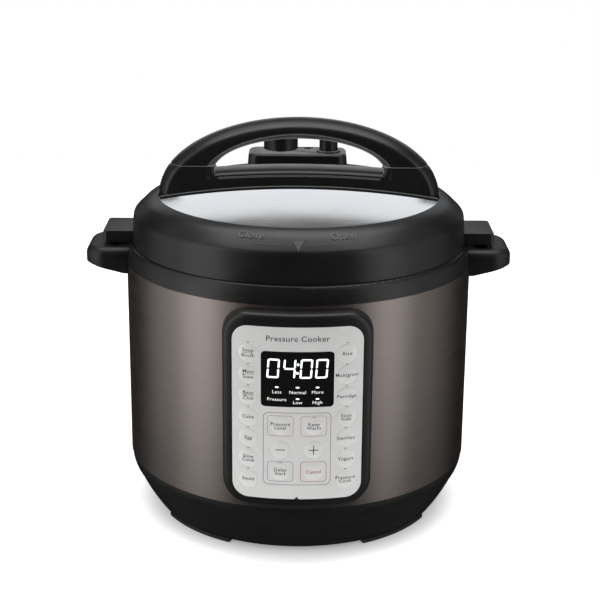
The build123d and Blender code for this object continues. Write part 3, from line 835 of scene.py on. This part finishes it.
class COOKER_OT_bezel(bpy.types.Operator):
    """Builds the panel's rounded bezel in place of the CAD one."""

    bl_idname = "cooker.bezel"
    bl_label = "Build the panel bezel"

    def execute(self, context):
        half_x = BEZEL_HIGH.x - 0.4 * MM
        low, high = BEZEL_LOW.z, BEZEL_HIGH.z
        front_high = high - 2.3 * MM
        sheet = Sheet()
        # Each ring: inset from the outline, distance from the axis, and how far the top edge has sloped back
        stations = ((0.0, SLEEVE_R - 0.3 * MM, 0.0), (0.0, SLEEVE_R + 0.8 * MM, 0.15), (0.0, 0.1426, 0.6),
                    (0.12, 0.1438, 0.78), (0.5, 0.14485, 0.92), (1.2, 0.14555, 1.0), (2.2, 0.14592, 1.0),
                    (3.4, PANEL_R + 0.05 * MM, 1.0), (5.4, PANEL_R + 0.12 * MM, 1.0),
                    (6.9, PANEL_R + 0.14 * MM, 1.0), (7.3, PANEL_R + 0.08 * MM, 1.0),
                    (7.4, PANEL_R - 0.1 * MM, 1.0), (7.4, PANEL_R - 0.5 * MM, 1.0))
        rows = []
        for inset, radius, slope in stations:
            inset *= MM
            top = high + (front_high - high) * slope
            middle, half_z = (low + top) / 2, (top - low) / 2
            corner = 19.0 * MM - inset
            drop = 1.1 * MM * min(1.0, inset / (7.0 * MM))
            row = []
            for p, q in rounded_loop(half_x - inset, half_z - inset, corner, 12):
                row.append((p, -sqrt(radius * radius - p * p), middle + q - drop))
            rows.append(row)
        sheet.grid(rows, wrap=True)
        bezel = add_mesh("panel_bezel_frame", sheet.points, sheet.faces, ["bezel_plastic"], closed=False)
        flip_out(bezel)
        settle(bezel, "housing", "bezel_plastic", ["panel_bezel"])
        return {"FINISHED"}


def flip_out(obj):
    """Turns an open shell's faces so that they face away from the cooker's axis."""
    work = bmesh.new()
    work.from_mesh(obj.data)
    bmesh.ops.recalc_face_normals(work, faces=work.faces)
    outward = sum(f.normal.dot(Vector((f.calc_center_median().x, f.calc_center_median().y, 0))) for f in work.faces)
    if outward < 0:
        bmesh.ops.reverse_faces(work, faces=work.faces)
    work.to_mesh(obj.data)
    work.free()


SIDE_X, SIDE_TOP, SIDE_PITCH, MID_X = 36.0 * MM, 171.0 * MM, 16.5 * MM, 12.3 * MM
LEFT_LABELS = (("soup", "Soup\nBroth"), ("meat", "Meat\nStew"), ("bean", "Bean\nChili"), ("cake", "Cake"),
               ("egg", "Egg"), ("slow_cook", "Slow\nCook"), ("saute", "Sauté"))
RIGHT_LABELS = (("rice", "Rice"), ("multigrain", "Multigrain"), ("porridge", "Porridge"), ("sous_vide", "Sous\nVide"),
                ("sterilize", "Sterilize"), ("yogurt", "Yogurt"), ("pressure_cook", "Pressure\nCook"))
MID_LABELS = (("pressure_level", "Pressure\nLevel", -MID_X, 115.6 * MM), ("keep_warm", "Keep\nWarm", MID_X, 115.6 * MM),
              ("minus", "-", -MID_X, 96.8 * MM), ("plus", "+", MID_X, 96.8 * MM),
              ("delay_start", "Delay\nStart", -MID_X, 79.3 * MM), ("cancel", "Cancel", MID_X, 79.3 * MM))
RULED = ("soup", "meat", "bean")


def key_list():
    keys = [(name, label, -SIDE_X, SIDE_TOP - SIDE_PITCH * i) for i, (name, label) in enumerate(LEFT_LABELS)]
    keys += [(name, label, SIDE_X, SIDE_TOP - SIDE_PITCH * i) for i, (name, label) in enumerate(RIGHT_LABELS)]
    return keys + list(MID_LABELS)


class COOKER_OT_keys(bpy.types.Operator):
    """Builds the domed keys with their printed labels."""

    bl_idname = "cooker.keys"
    bl_label = "Build the keys"

    def dome_lift(self, x, z, centre):
        """Height of the dome above the film at (x, z)."""
        distance = hypot(x - centre[0], z - centre[1]) / panel().key_radius
        if distance >= 1:
            return 0.0
        return panel().key_rise * (1 - distance ** 2) ** 0.8

    def dome(self, sheet, x, z):
        radius, around = panel().key_radius, 48
        rings = [[on_panel(x + radius * cos(2 * pi * i / around), z + radius * sin(2 * pi * i / around), -0.9 * MM)
                  for i in range(around)]]
        for part in (1.0, 0.97, 0.92, 0.84, 0.72, 0.55, 0.36, 0.18):
            ring = []
            for i in range(around):
                px = x + radius * part * cos(2 * pi * i / around)
                pz = z + radius * part * sin(2 * pi * i / around)
                ring.append(on_panel(px, pz, self.dome_lift(px, pz, (x, z)) - (0.02 * MM if part == 1.0 else 0)))
            rings.append(ring)
        sheet.grid(rings, wrap=True)
        sheet.fan(rings[-1], on_panel(x, z, panel().key_rise))

    def label(self, key_sheet, film_sheet, name, text, x, z, colour):
        """Prints a label: letters over the dome belong to the key, letters past it to the film."""
        if name in ("minus", "plus"):
            strokes = [(3.5, 0.32)] + ([(0.32, 3.5)] if name == "plus" else [])
            for half_x, half_z in strokes:
                rows = []
                for j in range(7):
                    dz = half_z * (j / 3 - 1) * MM
                    row = []
                    for i in range(7):
                        dx = half_x * (i / 3 - 1) * MM
                        row.append(on_panel(x + dx, z + dz, self.dome_lift(x + dx, z + dz, (x, z)) + PRINT_LIFT))
                    rows.append(row)
                key_sheet.grid(rows, 1)
            return
        points, faces = word_mesh(text, panel().label_height, weight=0.005)
        if name in RULED:
            points = [(px, py + (0.8 * MM if py > 0 else -0.5 * MM), pz) for px, py, pz in points]
            bar = len(points)
            steps = 8
            for dz in (0.2 * MM, 0.42 * MM):
                points += [(3.9 * MM * (2 * i / steps - 1), dz, 0.0) for i in range(steps + 1)]
            faces = faces + [(bar + i, bar + i + 1, bar + steps + 2 + i, bar + steps + 1 + i) for i in range(steps)]
        stretch = 1.07
        flat = [(x + px * stretch, z + py) for px, py, pz in points]
        wrapped = [on_panel(px, pz, self.dome_lift(px, pz, (x, z)) + PRINT_LIFT) for px, pz in flat]
        for sheet, inside in ((key_sheet, True), (film_sheet, False)):
            chosen = []
            for face in faces:
                cx = sum(flat[i][0] for i in face) / len(face)
                cz = sum(flat[i][1] for i in face) / len(face)
                if (hypot(cx - x, cz - z) < panel().key_radius) == inside:
                    chosen.append(face)
            if chosen:
                sheet.add(wrapped, chosen, 1 if inside else colour)

    def execute(self, context):
        film = Sheet()
        inks = ["dark_ink", "red_ink"]
        for name, text, x, z in key_list():
            sheet = Sheet()
            self.dome(sheet, x, z)
            ink = "red_ink" if name == "cancel" else "dark_ink"
            self.label(sheet, film, name, text, x, z, inks.index(ink))
            key = add_mesh("dome_" + name, sheet.points, sheet.faces, ["key_film", ink], sheet.marks, 50.0, False)
            drop_loose(key)
            settle(key, "key_" + name, "key_silver", ["key_" + name])
        words = add_mesh("label_ends", film.points, film.faces, inks, film.marks, closed=False)
        drop_loose(words)
        settle(words, "housing", "panel_silver")
        return {"FINISHED"}


def drop_loose(obj):
    """Deletes points that no face uses, and faces the rest outwards, to the panel's front."""
    work = bmesh.new()
    work.from_mesh(obj.data)
    bmesh.ops.delete(work, geom=[v for v in work.verts if not v.link_faces], context="VERTS")
    wrong = [f for f in work.faces if f.normal.y > 0.2]
    bmesh.ops.reverse_faces(work, faces=wrong)
    work.to_mesh(obj.data)
    work.free()


def collar(sheet, x, z, mark):
    """A thin ring of film that closes the gap round a key."""
    rows = []
    for radius, lift in ((7.23 * MM, -0.07 * MM), (7.45 * MM, -0.02 * MM), (7.75 * MM, 0.015 * MM)):
        angles = [2 * pi * i / 64 for i in range(64)]
        rows.append([on_panel(x + radius * cos(a), z + radius * sin(a), lift) for a in angles])
    sheet.grid(rows, mark, wrap=True)


class COOKER_OT_panel_print(bpy.types.Operator):
    """Prints the frames and rules on the panel film."""

    bl_idname = "cooker.panel_print"
    bl_label = "Print the panel film"

    def execute(self, context):
        sheet = Sheet()
        inks = ["grey_ink", "rose_ink", "amber_ink", "blue_ink", "red_ink", "dark_ink", "key_film"]
        frame_line(sheet, 0, 97.3 * MM, 25 * MM, 28.8 * MM, 4.2 * MM, 0.4 * MM, 0)
        for name, text, x, z in MID_LABELS:
            colour = {"pressure_level": 1, "keep_warm": 2, "delay_start": 3, "cancel": 4}.get(name)
            if colour:
                frame_line(sheet, x, z, 9.65 * MM, 8.1 * MM, 2.6 * MM, 0.36 * MM, colour)
        for name, text, x, z in key_list():
            collar(sheet, x, z, 6)
        notch = [on_panel(dx * MM, BEZEL_LOW.z + dz * MM, 0.06 * MM) for dx, dz in ((-1.9, 6.2), (1.9, 6.2), (0, 8.2))]
        sheet.add(notch, [(0, 1, 2)], 5)
        title = word_mesh("Pressure Cooker", 4.3 * MM, weight=0.004)
        sheet.add([on_panel(px * 1.05, 182.9 * MM + py, PRINT_LIFT) for px, py, pz in title[0]], title[1], 5)
        printed = add_mesh("panel_print", sheet.points, sheet.faces, inks, sheet.marks, closed=False)
        drop_loose(printed)
        settle(printed, "housing", "panel_silver")
        return {"FINISHED"}


class COOKER_OT_lamps(bpy.types.Operator):
    """Sets a small lamp mark above each key with a Geometry Nodes tree."""

    bl_idname = "cooker.lamps"
    bl_label = "Set the key lamps"

    NODES = {
        "start": "NodeGroupInput", "end": "NodeGroupOutput", "ball": "GeometryNodeMeshUVSphere",
        "size": "ShaderNodeCombineXYZ", "height": "ShaderNodeMath", "marks": "GeometryNodeInstanceOnPoints",
        "place": "GeometryNodeInputPosition", "level": "ShaderNodeVectorMath",
        "turn": "FunctionNodeAlignRotationToVector", "realize": "GeometryNodeRealizeInstances",
        "smooth": "GeometryNodeSetShadeSmooth", "paint": "GeometryNodeSetMaterial",
    }
    LINKS = (
        ("start", "Geometry", "marks", "Points"), ("ball", "Mesh", "marks", "Instance"),
        ("start", "Half width", "ball", "Radius"), ("start", "Flatness", "size", "Y"),
        ("start", "Flatness", "height", 0), ("height", 0, "size", "Z"), ("size", 0, "marks", "Scale"),
        ("place", 0, "level", 0), ("level", 0, "turn", "Vector"), ("turn", 0, "marks", "Rotation"),
        ("marks", 0, "realize", 0), ("realize", 0, "smooth", 0), ("smooth", 0, "paint", 0), ("paint", 0, "end", 0),
    )

    def tree(self):
        group = bpy.data.node_groups.new("lamp_marks", "GeometryNodeTree")
        face = group.interface
        face.new_socket("Geometry", in_out="INPUT", socket_type="NodeSocketGeometry")
        width = face.new_socket("Half width", in_out="INPUT", socket_type="NodeSocketFloat")
        flat = face.new_socket("Flatness", in_out="INPUT", socket_type="NodeSocketFloat")
        face.new_socket("Geometry", in_out="OUTPUT", socket_type="NodeSocketGeometry")
        nodes = {label: group.nodes.new(kind) for label, kind in self.NODES.items()}
        nodes["ball"].inputs["Segments"].default_value, nodes["ball"].inputs["Rings"].default_value = 14, 8
        nodes["paint"].inputs["Material"].default_value = material("lamp_film")
        nodes["height"].operation = nodes["level"].operation = "MULTIPLY"
        nodes["height"].inputs[1].default_value = 4.0
        nodes["size"].inputs["X"].default_value = 1.0
        nodes["level"].inputs[1].default_value = (1, 1, 0)
        nodes["turn"].axis, nodes["turn"].pivot_axis = "Y", "Z"
        for source, output, target, entry in self.LINKS:
            group.links.new(nodes[source].outputs[output], nodes[target].inputs[entry])
        return group, width.identifier, flat.identifier

    def execute(self, context):
        places = []
        for name, text, x, z in key_list():
            if name not in ("minus", "plus", "cancel", "pressure_level"):
                drop = 7.0 if abs(x) < 20 * MM else 8.1
                places.append(on_panel(x, z + drop * MM, 0.02 * MM))
        seed = bpy.data.meshes.new("lamp_places")
        seed.from_pydata(places, [], [])
        obj = place_object("key_lamps", seed)
        group, width, flat = self.tree()
        grow = obj.modifiers.new("Lamps", "NODES")
        grow.node_group = group
        grow[width], grow[flat] = 1.15 * MM, 0.09
        mesh = evaluated_mesh(obj)
        obj.modifiers.clear()
        obj.data = mesh
        settle(obj, "housing", "panel_silver")
        return {"FINISHED"}


class COOKER_OT_display(bpy.types.Operator):
    """Lights the display: four figures, a colon, lamp dashes and legends."""

    bl_idname = "cooker.display"
    bl_label = "Light the display"

    SEGMENTS = {"0": "abcdef", "4": "bcfg"}
    SLANT = 0.07

    def segment(self, sheet, x, z, kind):
        """One slanted segment with pointed ends; kind is its usual letter."""
        w, h, t = panel().digit_width / 2, panel().digit_height / 2, 0.68 * MM
        level = {"a": (0, h - t), "g": (0, 0), "d": (0, t - h)}
        upright = {"f": (t - w, h / 2), "b": (w - t, h / 2), "e": (t - w, -h / 2), "c": (w - t, -h / 2)}
        if kind in level:
            cx, cz = level[kind]
            reach = w - t - 0.25 * MM
            shape = [(-reach - t * 0.55, 0), (-reach + t * 0.45, t), (reach - t * 0.45, t), (reach + t * 0.55, 0),
                     (reach - t * 0.45, -t), (-reach + t * 0.45, -t)]
        else:
            cx, cz = upright[kind]
            reach = h / 2 - t * 0.5 - 0.25 * MM
            shape = [(0, reach + t * 0.45), (t, reach - t * 0.5), (t, -reach + t * 0.5), (0, -reach - t * 0.45),
                     (-t, -reach + t * 0.5), (-t, reach - t * 0.5)]
        points = []
        for px, pz in shape:
            dz = cz + pz
            points.append(on_panel(x + cx + px + dz * self.SLANT, z + dz, PRINT_LIFT))
        sheet.add(points, [tuple(range(6))])

    def dot(self, sheet, x, z, radius, half_z=None):
        ring = []
        for i in range(20):
            angle = 2 * pi * i / 20
            ring.append(on_panel(x + radius * cos(angle), z + (half_z or radius) * sin(angle), PRINT_LIFT))
        sheet.add(ring, [tuple(range(20))])

    def execute(self, context):
        lit, legend = Sheet(), Sheet()
        middle = 160.3 * MM
        for digit, x in zip("0400", (-17.7, -5.8, 6.4, 17.7)):
            for kind in self.SEGMENTS[digit]:
                self.segment(lit, x * MM, middle, kind)
        for dz in (-3.3, 3.3):
            self.dot(lit, (0.15 + dz * self.SLANT) * MM, middle + dz * MM, 1.0 * MM)
        for x, z in ((-15.0, 145.9), (0.2, 145.9), (14.7, 145.9), (0.2, 137.0), (14.7, 137.0)):
            self.dot(lit, x * MM, z * MM, 1.4 * MM, 0.6 * MM)
        words = (("Less", -15.0, 142.1), ("Normal", 0.2, 142.0), ("More", 14.7, 142.1), ("Pressure", -15.0, 136.3),
                 ("Low", 0.2, 134.1), ("High", 14.7, 134.1))
        for word, x, z in words:
            points, faces = word_mesh(word, 2.5 * MM, weight=0.0)
            legend.add([on_panel(x * MM + px * 1.1, z * MM + py, PRINT_LIFT) for px, py, pz in points], faces)
        for name, sheet, look in (("display_figures", lit, "figure_light"), ("display_legend", legend, "legend_light")):
            piece = add_mesh(name, sheet.points, sheet.faces, [look], closed=False)
            drop_loose(piece)
            settle(piece, "housing", "window_black")
        return {"FINISHED"}


class COOKER_OT_stage(bpy.types.Operator):
    """Sets the floor, the soft studio light and the camera."""

    bl_idname = "cooker.stage"
    bl_label = "Set the stage"

    def card(self, name, corners, colour, strength, **seen):
        """A flat card that the object's gloss can pick up; dark cards give no light."""
        mesh = bpy.data.meshes.new(name)
        mesh.from_pydata(corners, [], [(0, 1, 2, 3)])
        paint = bpy.data.materials.new(name)
        paint.use_nodes = True
        tree = paint.node_tree
        tree.nodes.clear()
        glow = tree.nodes.new("ShaderNodeEmission")
        glow.inputs["Color"].default_value, glow.inputs["Strength"].default_value = colour, strength
        out = tree.nodes.new("ShaderNodeOutputMaterial")
        tree.links.new(glow.outputs[0], out.inputs[0])
        mesh.materials.append(paint)
        obj = place_object(name, mesh)
        obj.visible_camera = obj.visible_shadow = obj.visible_transmission = False
        obj.visible_diffuse = seen.get("diffuse", True)
        return obj

    def softbox(self, name, azimuth, height, distance, width, tall, radiance, colour=(1, 1, 1)):
        """An area light around the cooker; azimuth is measured from the front towards the right."""
        data = bpy.data.lights.new(name, "AREA")
        data.shape, data.size, data.size_y = "RECTANGLE", width, tall
        data.energy = radiance * pi * width * tall
        data.color = colour
        light = place_object(name, data)
        turn = radians(azimuth)
        place = Vector((distance * sin(turn), -distance * cos(turn), height))
        light.location = place
        aim = Vector((-place.x, -place.y, 0.0))
        light.rotation_euler = aim.to_track_quat("-Z", "Y").to_euler()
        light.visible_camera = False
        return light

    def floor(self):
        """A pale, glowing floor with a painted contact shadow near the feet, where its glow is darker, and hidden from
        reflections.
        """
        corners = [(-2.5, -0.62, 0), (2.5, -0.62, 0), (2.5, 1.2, 0), (-2.5, 1.2, 0)]
        mesh = bpy.data.meshes.new("floor")
        mesh.from_pydata(corners, [], [(0, 1, 2, 3)])
        paint = Paint("pale_floor", Roughness=0.9, **{"Specular IOR Level": 0.0, "Emission Strength": 1.0})
        x, y, z = paint.axes()
        away = (x * x + y * y) ** 0.5
        # Painted contact shadow: the floor's glow drops from 0.82 to 0.2 between 0.150 and 0.098 m from the axis
        inputs = {"Value": away, "From Min": 0.098, "From Max": 0.150, "To Min": 0.0, "To Max": 1.0}
        rise = paint.node("ShaderNodeMapRange", {"clamp": True, "interpolation_type": "SMOOTHSTEP"}, inputs)[0]
        paint.feed(Emission_Color=paint.blend(rise, (0.2, 0.2, 0.2, 1), (0.82, 0.82, 0.82, 1)))
        paint.shader.made.inputs["Base Color"].default_value = (0.8, 0.8, 0.8, 1)
        mesh.materials.append(paint.material)
        obj = place_object("floor", mesh)
        obj.visible_glossy = False

    def world(self):
        world = bpy.data.worlds.new("studio")
        bpy.context.scene.world = world
        world.use_nodes = True
        nodes, links = world.node_tree.nodes, world.node_tree.links
        nodes.clear()
        path, mix = nodes.new("ShaderNodeLightPath"), nodes.new("ShaderNodeMixShader")
        dim, white = nodes.new("ShaderNodeBackground"), nodes.new("ShaderNodeBackground")
        dim.inputs["Color"].default_value, dim.inputs["Strength"].default_value = (1, 0.98, 0.96, 1), 0.06
        white.inputs["Color"].default_value, white.inputs["Strength"].default_value = (1, 1, 1, 1), 1.0
        out = nodes.new("ShaderNodeOutputWorld")
        links.new(path.outputs["Is Camera Ray"], mix.inputs[0])
        links.new(dim.outputs[0], mix.inputs[1])
        links.new(white.outputs[0], mix.inputs[2])
        links.new(mix.outputs[0], out.inputs[0])

    def camera(self):
        stage = bpy.context.scene.cooker_stage
        data = bpy.data.cameras.new("camera")
        data.lens, data.sensor_width = stage.lens, 36.0
        data.shift_x = 1.9 / 600
        camera = place_object("camera", data)
        tilt = Matrix.Rotation(pi / 2 - stage.pitch, 4, "X") @ Matrix.Rotation(stage.roll, 4, "Z")
        camera.matrix_world = Matrix.Translation((0, -stage.distance, stage.height)) @ tilt
        bpy.context.scene.camera = camera

    def execute(self, context):
        self.floor()
        self.world()
        warm = (1.0, 0.985, 0.965)
        for name, azimuth, width, radiance in (
                ("left key", -62, 0.7, 1.9), ("left fill", -92, 0.62, 0.62), ("left rear", -121, 0.62, 0.2),
                ("right key", 58, 0.6, 1.6), ("right fill", 86, 0.6, 0.46), ("right rear", 116, 0.7, 0.16)):
            self.softbox(name, azimuth, 0.5, 1.3, width, 1.9, radiance, warm)
        top = self.softbox("top", 180, 1.5, 0.05, 1.8, 0.9, 3.7)
        top.rotation_euler = (0, 0, 0)
        self.card("backdrop", [(-1.6, 1.5, 0.0), (1.6, 1.5, 0.0), (1.6, 1.5, 1.12), (-1.6, 1.5, 1.12)],
                  (0.95, 0.975, 1.0, 1), 1.05)
        self.card("upper backdrop", [(-1.6, 1.5, 1.14), (1.6, 1.5, 1.14), (1.6, 0.9, 1.7), (-1.6, 0.9, 1.7)],
                  (1.0, 0.95, 0.9, 1), 0.16)
        for side in (-1, 1):
            for label, near, far, top in (("low", 0.17, 0.45, 0.40), ("tall", 0.4, 1.3, 1.0)):
                a, b = side * near, side * far
                self.card(f"{label} flag {side}", [(a, 0.46, -0.6), (b, 0.6, -0.6), (b, 0.6, top), (a, 0.46, top)],
                          (0, 0, 0, 1), 0.0, diffuse=False)
        self.camera()
        context.scene.view_settings.view_transform = "Standard"
        return {"FINISHED"}


class COOKER_PT_panel(bpy.types.Panel):
    bl_label = "Pressure cooker"
    bl_idname = "COOKER_PT_panel"
    bl_space_type, bl_region_type, bl_category = "VIEW_3D", "UI", "Cooker"

    def draw(self, context):
        for group in ("cooker_finish", "cooker_panel", "cooker_stage"):
            settings = getattr(context.scene, group)
            for name in settings.bl_rna.properties.keys():
                if name not in ("rna_type", "name"):
                    self.layout.prop(settings, name)
        for operator in OPERATORS:
            self.layout.operator(operator.bl_idname)


OPERATORS = (COOKER_OT_finish, COOKER_OT_lid_handle, COOKER_OT_lid_marks, COOKER_OT_bezel, COOKER_OT_keys,
             COOKER_OT_panel_print, COOKER_OT_lamps, COOKER_OT_display, COOKER_OT_stage)
CLASSES = (CookerFinish, CookerPanel, CookerStage, *OPERATORS, COOKER_PT_panel)


def register():
    register_classes()
    bpy.types.Scene.cooker_finish = bpy.props.PointerProperty(type=CookerFinish)
    bpy.types.Scene.cooker_panel = bpy.props.PointerProperty(type=CookerPanel)
    bpy.types.Scene.cooker_stage = bpy.props.PointerProperty(type=CookerStage)


def unregister():
    del bpy.types.Scene.cooker_finish, bpy.types.Scene.cooker_panel, bpy.types.Scene.cooker_stage
    register_classes(undo=True)


def main():
    register()
    for operator in OPERATORS:
        category, name = operator.bl_idname.split(".")
        getattr(getattr(bpy.ops, category), name)()


if __name__ == "__main__":
    main()
